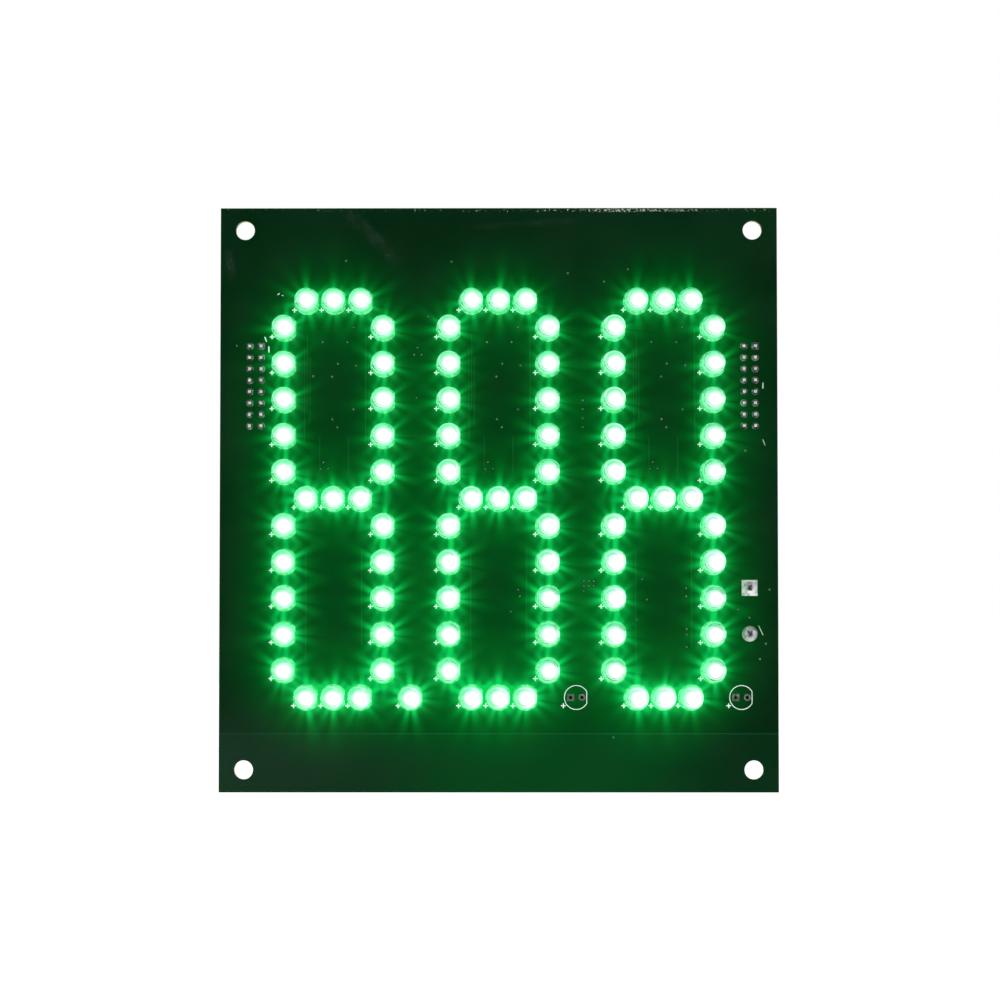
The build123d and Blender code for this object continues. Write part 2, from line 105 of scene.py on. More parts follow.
# ---------------- node trees in short calls
class Tree:
    """A material's or node group's tree. Numbers go on sockets, sockets are linked."""

    def __init__(self, tree):
        self.tree = tree

    def node(self, kind, **settings):
        made = self.tree.nodes.new(kind)
        for key, value in settings.items():
            setattr(made, key, value)
        return made

    def put(self, socket, value):
        if isinstance(value, bpy.types.NodeSocket):
            self.tree.links.new(value, socket)
        else:
            socket.default_value = value

    def fill(self, made, values):
        """Puts values on a node's sockets in order, and gives its first output."""
        for socket, value in zip(made.inputs, values):
            self.put(socket, value)
        return made.outputs[0]

    def shade(self, values):
        """Puts values on the sockets of the material's shader, by name."""
        sockets = self.tree.nodes["Principled BSDF"].inputs
        for name, value in values.items():
            self.put(sockets[name], value)

    def math(self, operation, *values):
        return self.fill(self.node("ShaderNodeMath", operation=operation), values)

    def chain(self, operation, values):
        """One operation through all the values, from the left."""
        total = values[0]
        for value in values[1:]:
            total = self.math(operation, total, value)
        return total

    def add(self, *values):
        return self.chain("ADD", values)

    def mul(self, *values):
        return self.chain("MULTIPLY", values)

    def rest(self, value):
        """One less the value."""
        return self.add(1.0, self.mul(value, -1.0))

    def absolute(self, value):
        return self.math("ABSOLUTE", value)

    def squares(self, first, second):
        """The sum of the squares of two numbers."""
        return self.add(self.mul(first, first), self.mul(second, second))

    def nearest(self, value, pitch, low=-1.0, high=1.0):
        """The number of the nearest of evenly spaced places from low to high, and how far past it."""
        number = self.math("ROUND", self.mul(value, 1 / pitch))
        number = self.math("MINIMUM", self.math("MAXIMUM", number, low), high)
        return number, self.add(value, self.mul(number, -pitch))

    def ramp(self, value, low, high, start=0.0, end=1.0):
        """A smooth step of value from low to high, as start to end."""
        made = self.node("ShaderNodeMapRange", interpolation_type="SMOOTHSTEP")
        return self.fill(made, (value, low, high, start, end))

    def mix(self, factor, first, second):
        """A mix of two colours."""
        made = self.node("ShaderNodeMix", data_type="RGBA")
        self.put(made.inputs["Factor"], factor)
        self.put(made.inputs[6], first)
        self.put(made.inputs[7], second)
        return made.outputs[2]

    def scaled(self, colour, factor):
        """A colour times a number."""
        made = self.node("ShaderNodeVectorMath", operation="SCALE")
        self.put(made.inputs[0], colour)
        self.put(made.inputs[3], factor)
        return made.outputs[0]

    def place_mm(self):
        """Object x, y and z in millimetres."""
        coordinates = self.node("ShaderNodeTexCoord")
        parts = self.node("ShaderNodeSeparateXYZ")
        self.put(parts.inputs[0], coordinates.outputs["Object"])
        return [self.mul(output, 1 / MM) for output in parts.outputs]

    def point(self, *values):
        return self.fill(self.node("ShaderNodeCombineXYZ"), values)

    def profile(self, value, stops):
        """A smooth curve through (position, height) stops between 0 and 1."""
        curve = self.node("ShaderNodeValToRGB")
        curve.color_ramp.interpolation = "EASE"
        elements = curve.color_ramp.elements
        while len(elements) < len(stops):
            elements.new(0.5)
        for element, (position, height) in zip(elements, stops):
            element.position = position
            element.color = (height, height, height, 1)
        self.put(curve.inputs[0], value)
        return curve.outputs["Color"]

    def noise(self, scale, detail=2.0, roughness=0.5, at=None):
        """Noise between 0 and 1, with scale in features per metre unless a point is given."""
        made = self.node("ShaderNodeTexNoise")
        if at is None:
            at = self.node("ShaderNodeTexCoord").outputs["Object"]
        for name, value in (("Vector", at), ("Scale", scale), ("Detail", detail), ("Roughness", roughness)):
            self.put(made.inputs[name], value)
        return made.outputs["Fac"]

    def stretched_noise(self, place, scales, detail=2.0, roughness=0.5):
        """Noise with its own number of features per millimetre along x, y and z."""
        at = self.point(*(self.mul(value, scale) for value, scale in zip(place, scales)))
        return self.noise(1.0, detail, roughness, at=at)

    def bump(self, height, strength, distance):
        made = self.node("ShaderNodeBump")
        self.put(made.inputs["Strength"], strength)
        self.put(made.inputs["Distance"], distance)
        self.put(made.inputs["Height"], height)
        return made.outputs["Normal"]


def new_material(name):
    """An empty node material, and its tree."""
    material = bpy.data.materials.new(name)
    material.use_nodes = True
    return material, Tree(material.node_tree)


def grey(value):
    return (value, value, value, 1.0)


# ---------------- plain finishes
def finish(name, low, high, roughness, metal=0.0, grain=900.0, bump=0.05, scratches=0.0):
    """A surface whose colour and gloss drift between two values, with fine relief."""
    material, tree = new_material(name)
    drift = tree.noise(grain * 0.2, 3.0)
    fine = tree.noise(grain, 4.0, 0.65)
    height = fine
    if scratches:
        lines = tree.stretched_noise(tree.place_mm(), (14.0, 1.2, 1.2))
        height = tree.add(tree.mul(lines, scratches), fine)
    tree.shade({
        "Base Color": tree.mix(tree.ramp(drift, 0.3, 0.7), (*low, 1), (*high, 1)),
        "Roughness": tree.ramp(fine, 0.2, 0.8, roughness * 0.8, roughness * 1.25),
        "Metallic": metal,
        "Normal": tree.bump(height, bump, FINE_RELIEF)})
    return material


def moulded(name, low, high, roughness=0.45):
    """Moulded plastic with a fine spark-eroded texture."""
    return finish(name, low, high, roughness, grain=4200.0, bump=0.35)


def metal(name, low, high, roughness=0.22, scratches=0.0, sheen=1.0):
    """Plated metal, duller where its surface is less than fully metallic."""
    return finish(name, low, high, roughness, metal=sheen, grain=2200.0, bump=0.18, scratches=scratches)


def soldered(name, dark, bright, patch, sheen, roughness=0.2, darker_below=-100.0):
    """Solder in random bright and dark patches: painted highlights on clean solder, and flux with painted
    shade in the dark ones; darker below a level in mm.
    """
    material, tree = new_material(name)
    level = tree.place_mm()[2]
    # painted highlights and shade: bright patches at random stand for highlights on clean solder, dark ones
    # for flux and shade
    highlight_and_clean = tree.ramp(tree.noise(1 / patch, 2.0, 0.6), 0.42, 0.60)
    share = tree.ramp(level, darker_below - 1.0, darker_below, 0.55, 1.0)
    tree.shade({
        "Base Color": tree.scaled(tree.mix(highlight_and_clean, grey(dark), grey(bright)), share),
        "Roughness": tree.ramp(highlight_and_clean, 0.0, 1.0, roughness * 1.8, roughness),
        "Metallic": sheen,
        "Normal": tree.bump(tree.noise(2 / patch, 3.0), 0.3, COARSE_RELIEF)})
    return material


def contact_plate():
    """Tin plate, with bare darker metal where the pin's end is cut off in front of the board."""
    material, tree = new_material("contact_plate")
    depth = tree.place_mm()[1]
    cut = tree.ramp(depth, FRONT_MM - 0.6, FRONT_MM - 0.5, 1.0, 0.0)
    drift = tree.ramp(tree.noise(440.0, 3.0), 0.3, 0.7)
    plate = tree.mix(drift, (0.78, 0.79, 0.77, 1), (0.93, 0.94, 0.92, 1))
    bare = tree.mix(tree.ramp(tree.noise(1600.0, 2.0), 0.42, 0.60), grey(0.10), grey(0.60))
    tree.shade({
        "Base Color": tree.mix(cut, plate, bare),
        "Roughness": tree.ramp(drift, 0.0, 1.0, 0.26, 0.38),
        "Metallic": 0.6,
        "Normal": tree.bump(tree.noise(2200.0, 3.0), 0.18, FINE_RELIEF)})
    return material


def lit_ink():
    """White ink on the front, lit by the LEDs near it."""
    material, tree = new_material("front_ink")
    x, _, z = tree.place_mm()
    worn = tree.ramp(tree.noise(3000.0, 3.0), 0.3, 0.7)
    glow = tree.math("MINIMUM", board_glow(tree, x, z, bpy.data.node_groups["led_rays"]), 1.0)
    tree.shade({
        "Base Color": tree.mix(worn, (0.72, 0.82, 0.75, 1), (0.86, 0.96, 0.89, 1)),
        "Roughness": 0.5,
        "Emission Color": tree.scaled((0.04, 0.62, 0.26), glow),
        "Emission Strength": 1.0})
    return material


# ---------------- glow round the LEDs
RAYS = ((12, 0.45), (38, 0.95), (66, 0.30), (95, 1.0), (128, 0.35), (156, 0.85), (191, 0.70), (226, 0.40),
        (256, 0.65), (281, 0.90), (318, 0.45), (347, 0.80))


def ray_stops():
    """Brightness round one LED, from the direction and strength of each ray."""
    stops = []
    for (angle, strength), (following, _) in zip(RAYS, RAYS[1:] + ((372, 0.0),)):
        stops.append((angle / 360, strength))
        stops.append(((angle + following) / 2 / 360, 0.04))
    return stops


def ray_group():
    """Light of one LED on the board at an offset from it: a halo, and uneven rays that fade."""
    tree_data = bpy.data.node_groups.new("led_rays", "ShaderNodeTree")
    for name in ("dx", "dz", "seed"):
        tree_data.interface.new_socket(name, in_out="INPUT", socket_type="NodeSocketFloat")
    tree_data.interface.new_socket("light", in_out="OUTPUT", socket_type="NodeSocketFloat")
    tree = Tree(tree_data)
    given = tree.node("NodeGroupInput").outputs
    dx, dz, seed = given["dx"], given["dz"], given["seed"]
    radius = tree.math("SQRT", tree.add(tree.squares(dx, dz), 0.01))
    around = [tree.math("DIVIDE", value, radius) for value in (dx, dz)]
    own = tree.node("ShaderNodeTexWhiteNoise", noise_dimensions="1D")
    tree.put(own.inputs["W"], seed)
    turn = tree.mul(tree.math("ARCTAN2", dz, dx), 1 / (2 * math.pi))
    turn = tree.math("FRACT", tree.add(turn, 1.0, tree.mul(own.outputs["Value"], 0.035)))
    uneven = tree.noise(1.2, 1.0, 0.5, at=tree.point(around[0], around[1], tree.mul(seed, 0.37)))
    rays = tree.mul(tree.profile(turn, ray_stops()), tree.ramp(uneven, 0.3, 0.7, 0.20, 1.50))
    away = tree.math("MAXIMUM", tree.add(radius, -BARREL_MM), 0.0)
    halo, reach, wide = (tree.math("EXPONENT", tree.mul(away, -fade)) for fade in (1.0, 0.52, 0.15))
    edge = tree.ramp(radius, 10.0, 19.0, 1.0, 0.0)
    light = tree.add(tree.mul(halo, 0.60), tree.mul(reach, rays, 0.86), tree.mul(wide, 0.052))
    out = tree.node("NodeGroupOutput")
    tree.put(out.inputs["light"], tree.mul(light, edge))
    return tree_data


def board_glow(tree, x, z, rays):
    """The sum of the light of the LEDs that stand close to a place on the board."""
    def light(dx, dz, seed):
        return tree.fill(tree.node("ShaderNodeGroup", node_tree=rays), (dx, dz, seed))

    digit, inside = tree.nearest(x, DIGIT_MM)
    side = tree.math("SIGN", inside)
    half = tree.math("SIGN", z)
    across = tree.absolute(inside)
    high = tree.absolute(z)
    first = tree.math("FLOOR", tree.mul(tree.add(high, -GAP_MM), 1 / STEP_MM))

    # the nearest column, then the next nearest: of the same digit, or of the digit beyond it;
    # every LED gets a seed of its own, which turns its rays a little
    outer = tree.math("GREATER_THAN", across, DIGIT_MM / 2 - COLUMN_MM)
    beyond = tree.add(digit, tree.mul(side, outer))
    beyond_there = tree.math("LESS_THAN", tree.absolute(beyond), 1.5)
    near_column = (tree.add(across, -COLUMN_MM), digit, side, 1.0)
    far_across = tree.add(across, COLUMN_MM, tree.mul(outer, -DIGIT_MM))
    far_column = (far_across, beyond, tree.mul(side, -1.0), beyond_there)
    parts = []
    for offset, of_digit, of_side, there in (near_column, far_column):
        dx = tree.mul(side, offset)
        name = tree.add(tree.mul(of_digit, 31.0), tree.mul(of_side, 13.0))
        for step in (-1.0, 0.0, 1.0, 2.0):
            number = tree.add(first, step)
            fitted = tree.mul(tree.math("GREATER_THAN", number, -0.5),
                              tree.math("LESS_THAN", number, COLUMN_LEDS - 0.5))
            dz = tree.add(high, -GAP_MM, tree.mul(number, -STEP_MM))
            seed = tree.add(name, tree.mul(half, 57.0), number)
            parts.append(tree.mul(light(dx, tree.mul(half, dz), seed), fitted, there))
        seed = tree.add(name, tree.mul(half, -57.0))
        across_zero = tree.mul(half, tree.add(high, GAP_MM))
        parts.append(tree.mul(light(dx, across_zero, seed), there))

    row, row_dz = tree.nearest(z, TOP_MM)
    name = tree.add(tree.mul(digit, 31.0), tree.mul(row, 17.0), 200.0)
    for step in (-1, 0, 1):
        dx = tree.add(inside, -step * ROW_MM)
        parts.append(light(dx, row_dz, tree.add(name, step * 5.0)))
    parts.append(light(tree.add(x, -FITTED_POINT[0] / MM), tree.add(z, -FITTED_POINT[1] / MM), 400.0))
    return tree.add(*parts)


# ---------------- board
def front_lines(tree, x, z):
    """Thin copper lines that show faintly through the mask between the columns of each digit."""
    _, inside = tree.nearest(x, DIGIT_MM)
    lines = []
    for lane, low, high in ((-6.6, 13.0, 33.5), (-6.0, 20.0, 37.0), (-5.4, 17.0, 32.0), (7.0, 12.0, 38.0),
                            (-3.2, 5.5, 14.0), (3.2, 5.5, 14.0), (6.2, -33.0, -11.0), (-6.2, -36.0, -12.0)):
        near = tree.absolute(tree.add(inside, -lane))
        between = tree.absolute(tree.add(z, -(low + high) / 2))
        lines.append(tree.mul(tree.ramp(near, 0.06, 0.16, 1.0, 0.0),
                              tree.ramp(between, (high - low) / 2 - 0.1, (high - low) / 2, 1.0, 0.0)))
    return tree.add(*lines)


def scuff(tree, x, z, centre, angle, length, width):
    """A faint rubbed streak across the mask."""
    run = Vector((math.cos(math.radians(angle)), math.sin(math.radians(angle))))
    dx, dz = tree.add(x, -centre[0]), tree.add(z, -centre[1])
    along = tree.absolute(tree.add(tree.mul(dx, run.x), tree.mul(dz, run.y)))
    across = tree.absolute(tree.add(tree.mul(dx, -run.y), tree.mul(dz, run.x)))
    cloudy = tree.ramp(tree.noise(240.0, 4.0, 0.6), 0.34, 0.60, 0.3, 1.0)
    return tree.mul(tree.ramp(along, length * 0.25, length * 0.5, 1.0, 0.0),
                    tree.ramp(across, width * 0.15, width * 0.5, 1.0, 0.0), cloudy)


def rubbed_places(tree, x, z):
    """The streaks: across the upper left, by the left edge, and fainter along the top."""
    return tree.add(scuff(tree, x, z, (-28.0, 58.6), -45.0, 19.0, 4.2),
                    scuff(tree, x, z, (-59.8, 52.0), -80.0, 9.0, 2.6),
                    tree.mul(scuff(tree, x, z, (6.0, 61.5), 4.0, 30.0, 2.2), 0.5))


def top_edge_specks(tree, x, z):
    """Pale specks just below the top edge, most of them right of the middle."""
    speck_noise = tree.noise(1900.0, 3.0, 0.7)
    more = tree.add(tree.ramp(tree.absolute(tree.add(x, -32.0)), 7.0, 15.0, 0.05, -0.03),
                    tree.ramp(x, -20.0, 15.0, -0.06, 0.0))
    strip = tree.mul(tree.ramp(z, 64.0, 64.4), tree.ramp(z, 64.75, 64.9, 1.0, 0.15))
    fainter = tree.ramp(x, 28.0, 34.0, 1.0, 0.5)
    return tree.mul(strip, tree.ramp(tree.add(speck_noise, more), 0.55, 0.60), fainter)


def light_on_board(tree, x, z):
    """The LEDs' light on the front: stronger lower down, with a wide faint pool below the middle."""
    light = tree.mul(board_glow(tree, x, z, ray_group()), tree.ramp(z, -50.0, 50.0, 1.55, 0.90))
    low_down = tree.ramp(z, -58.0, -12.0, 1.0, 0.0)
    near_middle = tree.ramp(tree.absolute(tree.add(x, -10.0)), 14.0, 44.0, 1.0, 0.0)
    return tree.add(light, tree.mul(low_down, near_middle, 0.068))


def mask_colour(tree, x, z, front, glow, lines, rubbed):
    """Solder mask: deeper where lit, paler over copper, greyer where rubbed, and greyer at the lower left
    from a painted reflection.
    """
    cloud = tree.ramp(tree.noise(45.0, 3.0), 0.3, 0.7)
    mask = tree.mix(cloud, (0.0014, 0.019, 0.0050, 1), (0.0024, 0.026, 0.0075, 1))
    pour = tree.ramp(z, POUR_MM - 0.05, POUR_MM + 0.05, 1.0, 0.0)
    pour_edge = tree.ramp(tree.absolute(tree.add(z, -POUR_MM)), 0.08, 0.22, 1.0, 0.0)
    # painted reflection: a soft grey sheen of light painted over the lower left of the front
    painted_reflection = tree.mul(tree.ramp(z, -58.0, -38.0, 1.0, 0.0), tree.ramp(x, -60.0, -8.0, 1.0, 0.0), 0.40)
    greyer = tree.mul(tree.add(tree.mul(rubbed, 0.42), painted_reflection), front)
    for share, colour in ((tree.ramp(glow, 0.0, 0.12), (0.0002, 0.022, 0.0050, 1)),
                          (tree.mul(pour, 0.30), (0.0022, 0.040, 0.012, 1)),
                          (tree.mul(pour_edge, 0.5), (0.008, 0.070, 0.028, 1)),
                          (tree.mul(lines, 0.35), (0.014, 0.075, 0.030, 1)),
                          (greyer, (0.018, 0.042, 0.025, 1))):
        mask = tree.mix(share, mask, colour)
    return mask


def board_material():
    """Glossy green solder mask over glass epoxy, lit by the LEDs on its front."""
    material, tree = new_material("solder_mask")
    x, y, z = tree.place_mm()
    facing = tree.node("ShaderNodeSeparateXYZ")
    tree.put(facing.inputs[0], tree.node("ShaderNodeNewGeometry").outputs["True Normal"])
    flat = tree.ramp(tree.absolute(facing.outputs[1]), 0.5, 0.9)
    front = tree.math("LESS_THAN", y, FRONT_MM * 0.5)
    glow = tree.mul(light_on_board(tree, x, z), front, flat)
    lines = tree.mul(front_lines(tree, x, z), front)
    rubbed = rubbed_places(tree, x, z)

    mask = mask_colour(tree, x, z, front, glow, lines, rubbed)
    face = tree.mix(tree.mul(top_edge_specks(tree, x, z), front), mask, (0.50, 0.54, 0.46, 1))
    weave = tree.ramp(tree.stretched_noise((x, y, z), (3.0, 9.0, 3.0), 1.0), 0.35, 0.65)
    cut_edge = tree.mix(weave, (0.16, 0.20, 0.075, 1), (0.34, 0.36, 0.17, 1))
    uneven = tree.ramp(tree.noise(90.0, 3.0), 0.3, 0.7, 0.13, 0.22)
    height = tree.add(tree.noise(260.0, 2.0), tree.mul(lines, 1.5))
    glow = tree.mul(glow, tree.add(1.0, tree.mul(lines, 0.12)))
    light = tree.mix(tree.ramp(glow, 0.15, 1.0), (0.000, 0.40, 0.034, 1), (0.002, 0.44, 0.070, 1))
    tree.shade({
        "Base Color": tree.mix(flat, cut_edge, face),
        "Roughness": tree.add(uneven, tree.mul(rubbed, 0.12), tree.mul(tree.rest(flat), 0.5)),
        "Normal": tree.bump(height, 0.12, COARSE_RELIEF),
        "Emission Color": tree.scaled(light, tree.math("MINIMUM", glow, 1.4)),
        "Emission Strength": 1.0})
    return material


# ---------------- lit LED lens
def lens_offset(tree, x, z):
    """Offset of a place on a lens from its own LED's axis."""
    _, inside = tree.nearest(x, DIGIT_MM)
    column_dx = tree.mul(tree.add(tree.absolute(inside), -COLUMN_MM), tree.math("SIGN", inside))
    _, past = tree.nearest(tree.add(tree.absolute(z), -GAP_MM), STEP_MM, 0.0, COLUMN_LEDS - 1.0)
    column_dz = tree.mul(past, tree.math("SIGN", z))
    _, row_dx = tree.nearest(inside, ROW_MM)
    _, row_dz = tree.nearest(z, TOP_MM)
    point_dx = tree.add(x, -FITTED_POINT[0] / MM)
    point_dz = tree.add(z, -FITTED_POINT[1] / MM)

    best_dx, best_dz = column_dx, column_dz
    for dx, dz in ((row_dx, row_dz), (point_dx, point_dz)):
        nearer = tree.math("LESS_THAN", tree.squares(dx, dz), tree.squares(best_dx, best_dz))
        keep = tree.rest(nearer)
        best_dx = tree.add(tree.mul(nearer, dx), tree.mul(keep, best_dx))
        best_dz = tree.add(tree.mul(nearer, dz), tree.mul(keep, best_dz))
    return best_dx, best_dz


def lens_top(tree, x, y, z, dx, dz):
    """The dome from above: a white core over the cup, mint at the rim, thin dark arcs at the lower left.

    Gives the distance from the LED's axis, the shade of its rings, and the colour.
    """
    core_radius = tree.math("SQRT", tree.squares(tree.add(dx, -CORE_DX_MM), tree.add(dz, -CORE_DZ_MM)))
    radius = tree.math("SQRT", tree.squares(dx, dz))
    uneven = tree.stretched_noise((x, y, z), (1.1, 0.6, 1.1), 2.0, 0.6)
    edge = tree.add(BARREL_MM + 0.1, tree.mul(tree.add(uneven, -0.5), 0.5))
    core = tree.ramp(core_radius, tree.add(edge, -1.95), edge, 1.0, 0.0)
    rings = tree.math("SINE", tree.mul(tree.add(radius, tree.mul(uneven, 0.30)), 12.5))
    shade = tree.ramp(rings, -0.95, 0.3, 0.45, 1.0)
    here_and_there = tree.ramp(tree.stretched_noise((x, 3.0, z), (0.55, 1.0, 0.55), 1.0), 0.42, 0.56)
    low_left = tree.ramp(tree.add(dx, dz), -2.6, -0.8, 1.0, 0.0)
    part = tree.math("MAXIMUM", tree.mul(here_and_there, 0.6), low_left)
    arcs = tree.mul(tree.rest(shade), part, tree.ramp(radius, 1.3, 1.8))
    top = tree.mix(core, (0.085, 0.60, 0.29, 1), grey(1.0))
    return radius, shade, tree.scaled(top, tree.add(1.0, tree.mul(arcs, -1.5)))


def lens_material():
    """Clear epoxy that carries the green light: white over the cup, mint at the rim, deep green low down."""
    material, tree = new_material("lit_lens")
    x, y, z = tree.place_mm()
    dx, dz = lens_offset(tree, x, z)
    radius, shade, top = lens_top(tree, x, y, z, dx, dz)
    height = tree.add(FRONT_MM, tree.mul(y, -1.0))

    climb = tree.ramp(height, 0.6, DOME_MM + 0.6)
    barrel = tree.mix(climb, (0.000, 0.16, 0.035, 1), (0.17, 0.80, 0.38, 1))
    below_dome = tree.ramp(height, DOME_MM, DOME_MM + 0.6, 1.0, 0.0)
    on_wall = tree.mul(tree.ramp(radius, BARREL_MM - 0.10, BARREL_MM - 0.01), below_dome)
    colour = tree.mix(on_wall, top, barrel)
    low_down = tree.ramp(height, FLANGE_MM - 0.1, FLANGE_MM + 0.1, 1.0, 0.0)
    on_flange = tree.mul(tree.ramp(radius, BARREL_MM + 0.02, BARREL_MM + 0.06), low_down)
    arc = tree.ramp(tree.stretched_noise((x, 0.0, z), (0.9, 1.0, 0.9), 1.0), 0.4, 0.6)
    flange = tree.mix(arc, (0.03, 0.36, 0.14, 1), (0.20, 0.70, 0.40, 1))
    colour = tree.mix(on_flange, colour, tree.scaled(flange, shade))

    outside = tree.rest(tree.node("ShaderNodeNewGeometry").outputs["Backfacing"])
    tree.shade({
        "Base Color": (0.45, 0.90, 0.58, 1),
        "Roughness": tree.ramp(tree.noise(1400.0, 2.0), 0.3, 0.7, 0.02, 0.06),
        "IOR": 1.52,
        "Transmission Weight": 0.85,
        "Emission Color": tree.scaled(colour, outside),
        "Emission Strength": 1.0})
    return material


def chip_material():
    """The lit chip."""
    material, tree = new_material("lit_chip")
    spots = tree.ramp(tree.noise(9000.0, 1.0), 0.4, 0.6, 0.8, 1.0)
    tree.shade({
        "Base Color": (0.5, 0.8, 0.5, 1),
        "Emission Color": tree.scaled((0.30, 1.0, 0.50), spots),
        "Emission Strength": 1.2})
    return material


# ---------------- finishes of the CAD nodes
def node_finishes():
    """Material for each of the record's slots, and for the nodes that differ from their slot."""
    solder = metal("bright_solder", (0.52, 0.53, 0.52), (0.90, 0.91, 0.90), 0.24, sheen=0.82)
    dull = metal("dull_tin", (0.40, 0.44, 0.41), (0.72, 0.76, 0.73), 0.28, sheen=0.80)
    tin = metal("tin_plate", (0.80, 0.81, 0.79), (0.93, 0.94, 0.92), 0.38, sheen=0.38)
    return {
        "solder_mask_board": board_material(),
        "led_lens": lens_material(),
        "led_lead_frame": metal("silvered_steel", (0.62, 0.62, 0.60), (0.78, 0.78, 0.76), 0.24),
        "led_chip": chip_material(),
        "solder": solder,
        "header_solder": soldered("header_joint", 0.05, 0.62, 0.8 * MM, 0.78),
        "power_solder": soldered("power_joint", 0.50, 1.0, 1.5 * MM, 0.20, 0.24, darker_below=-25.0),
        "unfitted_led_lands": dull,
        "plated_land": tin,
        "header_plastic": moulded("header_black", (0.010, 0.010, 0.011), (0.018, 0.018, 0.020), 0.42),
        "header_pin_tin": metal("pin_tin", (0.72, 0.73, 0.71), (0.95, 0.95, 0.93), 0.20, sheen=0.35),
        "terminal_plastic": moulded("terminal_green", (0.012, 0.120, 0.045), (0.018, 0.150, 0.058), 0.38),
        "screw_steel": metal("zinc_steel", (0.52, 0.53, 0.54), (0.70, 0.71, 0.72), 0.26, scratches=0.8),
        "clamp_brass": metal("nickel_brass", (0.58, 0.56, 0.50), (0.72, 0.70, 0.64), 0.25, scratches=0.6),
        "contact_tin": contact_plate(),
        "package_plastic": moulded("package_black", (0.014, 0.014, 0.015), (0.024, 0.024, 0.026), 0.5),
        "tinned_lead": tin,
        "resistor_body": finish("resistor_glaze", (0.012, 0.012, 0.014), (0.02, 0.02, 0.022), 0.18),
        "capacitor_body": finish("capacitor_tan", (0.20, 0.13, 0.07), (0.30, 0.20, 0.12), 0.5),
        "chip_termination": solder,
        "capacitor_base": moulded("base_black", (0.012, 0.012, 0.012), (0.02, 0.02, 0.02), 0.45),
        "capacitor_can": metal("drawn_aluminium", (0.66, 0.67, 0.68), (0.80, 0.81, 0.82), 0.24,
                               scratches=1.0),
    }


def dress_cad_nodes(finishes):
    """Gives every CAD node its own finish, or its slot's."""
    slots = {part["node"]: part["material_slot"] for part in frame["record"]["subparts"]}
    for name, node in frame["nodes"].items():
        node.data.materials.clear()
        node.data.materials.append(finishes.get(name, finishes[slots[name]]))


# ---------------- thin shapes on the board
def add_piece(name, mesh, material):
    """Turns a finished mesh into a piece that rides on the board."""
    bmesh.ops.recalc_face_normals(mesh, faces=mesh.faces)
    data = bpy.data.meshes.new(name)
    mesh.to_mesh(data)
    mesh.free()
    data.materials.append(material)
    piece = bpy.data.objects.new(name, data)
    bpy.context.scene.collection.objects.link(piece)
    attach(piece, "board")


class Sheet:
    """A mesh of thin closed shapes that lie on one face of the board."""

    def __init__(self, name, face, height, lift=0.0):
        self.name = name
        self.mesh = bmesh.new()
        out = -1.0 if face == "front" else 1.0
        base = FRONT_Y if face == "front" else REAR_Y
        self.levels = (base + out * lift, base + out * (lift + height))

    def loop(self, points, level):
        return [self.mesh.verts.new((x, level, z)) for x, z in points]

    def band(self, outer, inner):
        """A closed band between two loops of as many points (x, z)."""
        rows = [self.loop(points, level) for level in self.levels for points in (outer, inner)]
        outer_low, inner_low, outer_high, inner_high = rows
        count = len(outer)
        for i in range(count):
            j = (i + 1) % count
            for a, b in ((outer_low, outer_high), (outer_high, inner_high),
                         (inner_high, inner_low), (inner_low, outer_low)):
                self.mesh.faces.new((a[i], a[j], b[j], b[i]))

    def plate(self, points):
        """A filled flat shape with the given outline (x, z)."""
        low, high = (self.loop(points, level) for level in self.levels)
        self.mesh.faces.new(low)
        self.mesh.faces.new(high[::-1])
        count = len(points)
        for i in range(count):
            j = (i + 1) % count
            self.mesh.faces.new((low[j], low[i], high[i], high[j]))

    def ring(self, x, z, inner, outer, square=False, count=28):
        """A ring, or a disc where it has no inner radius, with a square outline if asked."""
        turns = [2 * math.pi * (i + 0.5) / count for i in range(count)]
        reach = [1 / max(abs(math.cos(t)), abs(math.sin(t))) if square else 1.0 for t in turns]
        rim = [(x + outer * r * math.cos(t), z + outer * r * math.sin(t)) for t, r in zip(turns, reach)]
        if inner:
            self.band(rim, [(x + inner * math.cos(t), z + inner * math.sin(t)) for t in turns])
        else:
            self.plate(rim)

    def line(self, points, width, closed=False):
        """A line of even width with mitred corners through the points (x, z)."""
        spots = [Vector(point) for point in points]
        count = len(spots)
        left, right = [], []
        for i, spot in enumerate(spots):
            runs = []
            if closed or i:
                runs.append((spot - spots[i - 1]).normalized())
            if closed or i < count - 1:
                runs.append((spots[(i + 1) % count] - spot).normalized())
            along = sum(runs, Vector((0, 0))).normalized()
            side = Vector((-along.y, along.x))
            reach = width / 2 / max(0.35, side.dot(Vector((-runs[0].y, runs[0].x))))
            left.append(spot + side * reach)
            right.append(spot - side * reach)
        if closed:
            self.band(left, right)
        else:
            self.plate(left + right[::-1])

    def cross(self, x, z, size, width):
        """A plus sign."""
        a, b = size / 2, width / 2
        self.plate([(x + dx, z + dz) for dx, dz in (
            (-b, a), (-b, b), (-a, b), (-a, -b), (-b, -b), (-b, -a),
            (b, -a), (b, -b), (a, -b), (a, b), (b, b), (b, a))])

    def frame(self, x0, x1, z0, z1, width):
        self.line([(x0, z0), (x1, z0), (x1, z1), (x0, z1)], width, closed=True)

    def done(self, material):
        add_piece(self.name, self.mesh, material)


def footprint_outline(x, z):
    """The printed ring of an LED, with the flat on its cathode side."""
    radius, flat = 2.65 * MM, 2.31 * MM
    start = math.acos(flat / radius)
    sweep, count = 2 * (math.pi - start), 44
    turns = [start + sweep * i / count for i in range(count + 1)]
    return [(x + radius * math.cos(t), z + radius * math.sin(t)) for t in turns]


